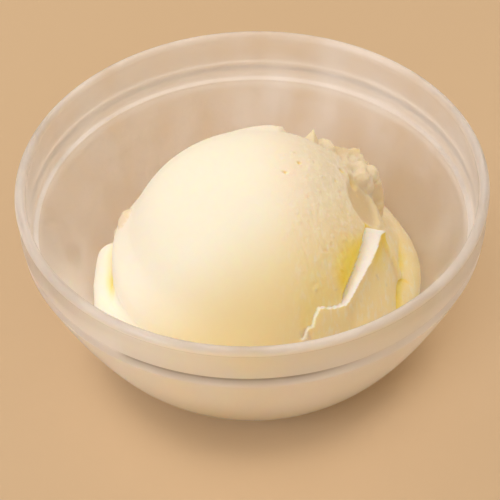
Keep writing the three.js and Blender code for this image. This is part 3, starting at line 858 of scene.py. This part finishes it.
# %% Make the ice cream
CREAM = "#fdf1e0"
CREAM_IOR = 1.36
SCATTER_MM = 1.6
SCATTER_BY_COLOUR = (1.0, 0.75, 0.4)     # red light goes furthest, which warms the folds
CRYSTAL_MM = 0.7     # real crystals are 0.05 mm and wouldn't show, so they are drawn this coarse
SMEAR_MM = 0.9

# What is laid over the plain cream, one colour after another, each where its attribute says.
# Painted glow: the yellow of the folds and hollows.
# Painted light: the torn face's white.
# Painted shade: the notch's darker beige.
# Painted shade: the warm low-front colour.
# Partly painted shade: the icy side's greyer beige.
LAYERS = {
    "icy_and_shaded_side": "#e9dfc7", "painted_warm_shade": "#f8e5b4", "streaks": "#f8efdf", "notch_painted_shade": "#dfc9a0",
    "fringe": "#e8dbc1", "crease": "#ffe066", "torn_face_painted_bright": "#fffcf6",
}


def vanilla_ice_cream():
    material, tree = new_material("vanilla_ice_cream_scooped")
    place = add(tree, "TexCoord").outputs["Object"]
    crystals = add(tree, "TexNoise", {
        "Vector": place, "Scale": cycles_per_metre(CRYSTAL_MM), "Detail": 4.0, "Roughness": 0.65,
    })
    along = add(tree, "Mapping", {"Vector": place, "Scale": (1.0, 0.35, 0.3)})
    smears = add(tree, "TexNoise", {
        "Vector": along, "Scale": cycles_per_metre(SMEAR_MM), "Detail": 3.0, "Roughness": 0.6,
    })

    shares = {
        name: add(tree, "Attribute", attribute_name=name) for name in LAYERS if name != "streaks"
    }
    pale = add(tree, "MapRange", {
        "Value": smears, "From Min": 0.5, "From Max": 0.68, "To Max": 0.6,
    })
    shares["streaks"] = add(tree, "Math", {0: pale, 1: shares["icy_and_shaded_side"]}, operation="MULTIPLY")
    colour = linear(CREAM)
    for name, hex_colour in LAYERS.items():
        colour = add(tree, "Mix", {
            "Factor": shares[name], "A": colour, "B": linear(hex_colour),
        }, data_type="RGBA")

    relief = add(tree, "Math", {0: crystals, 1: smears}, operation="ADD")
    strength = add(tree, "MapRange", {"Value": shares["icy_and_shaded_side"], "To Min": 0.12, "To Max": 0.9})
    bump = add(tree, "Bump", {"Height": relief, "Strength": strength, "Distance": 0.14 * MM})
    shader = add(tree, "BsdfPrincipled", {
        "Base Color": colour, "Roughness": 0.5, "IOR": CREAM_IOR,
        "Subsurface Weight": 1.0, "Subsurface Radius": SCATTER_BY_COLOUR,
        "Subsurface Scale": SCATTER_MM * MM, "Normal": bump,
    })
    add(tree, "OutputMaterial", {"Surface": shader})
    return material


paint(scoop, vanilla_ice_cream())

# %% [markdown]
# ## Floor, light and camera
# A plain pale floor, a large soft lamp in front on the left and a second one overhead give the light
# of the photograph: the cap and the left side are bright, the torn side is in warm shade, deepened
# by painted shade in the cream's colours.

# %% The floor
PAPER = "#cbb08d"
FLOOR_HALF_SIZE = 2.0     # metres


def make_floor():
    bm = bmesh.new()
    bmesh.ops.create_grid(bm, x_segments=1, y_segments=1, size=FLOOR_HALF_SIZE)
    mesh = bpy.data.meshes.new("floor")
    bm.to_mesh(mesh)
    bm.free()
    floor = bpy.data.objects.new("floor", mesh)
    bpy.context.scene.collection.objects.link(floor)
    material, tree = new_material("studio_paper")
    shader = add(tree, "BsdfPrincipled", {"Base Color": linear(PAPER), "Roughness": 0.8})
    add(tree, "OutputMaterial", {"Surface": shader})
    floor.data.materials.append(material)


make_floor()

# %% The light
LAMP_AIM = Vector((0, 0, 20)) * MM
STUDIO_COLOUR, STUDIO_STRENGTH = "#fff0dc", 0.74


def area_lamp(name, place, size, watts, colour):
    data = bpy.data.lights.new(name, "AREA")
    data.shape = "DISK"
    data.size = size
    data.energy = watts
    data.color = linear(colour)[:3]
    lamp = bpy.data.objects.new(name, data)
    lamp.location = place
    lamp.rotation_euler = (Vector(place) - LAMP_AIM).to_track_quat("Z", "Y").to_euler()
    bpy.context.scene.collection.objects.link(lamp)


area_lamp("key_lamp", (-0.72, -0.40, 0.60), 0.6, 3.15, "#ecf1ff")
area_lamp("top_lamp", (0.00, 0.38, 0.92), 0.7, 2.6, "#fff1e2")

world = bpy.data.worlds.new("studio")
world.use_nodes = True
background = world.node_tree.nodes["Background"]
background.inputs["Color"].default_value = linear(STUDIO_COLOUR)
background.inputs["Strength"].default_value = STUDIO_STRENGTH
bpy.context.scene.world = world
bpy.context.scene.view_settings.view_transform = "Standard"

# %% The camera
CAMERA_ELEVATION = 44.72
CAMERA_ROLL = -1.85
CAMERA_DISTANCE = 0.42
CAMERA_LENS, CAMERA_SENSOR = 131.54, 36
CAMERA_TARGET = Vector((-0.87, 0, 22.99)) * MM

camera_data = bpy.data.cameras.new("camera")
camera_data.lens = CAMERA_LENS
camera_data.sensor_width = CAMERA_SENSOR
camera = bpy.data.objects.new("camera", camera_data)
bpy.context.scene.collection.objects.link(camera)
tilt = math.radians(CAMERA_ELEVATION)
towards_camera = Vector((0, -math.cos(tilt), math.sin(tilt)))
camera.location = CAMERA_TARGET + towards_camera * CAMERA_DISTANCE
camera.rotation_euler = towards_camera.to_track_quat("Z", "Y").to_euler()
camera.rotation_euler.rotate_axis("Z", math.radians(CAMERA_ROLL))
bpy.context.scene.camera = camera
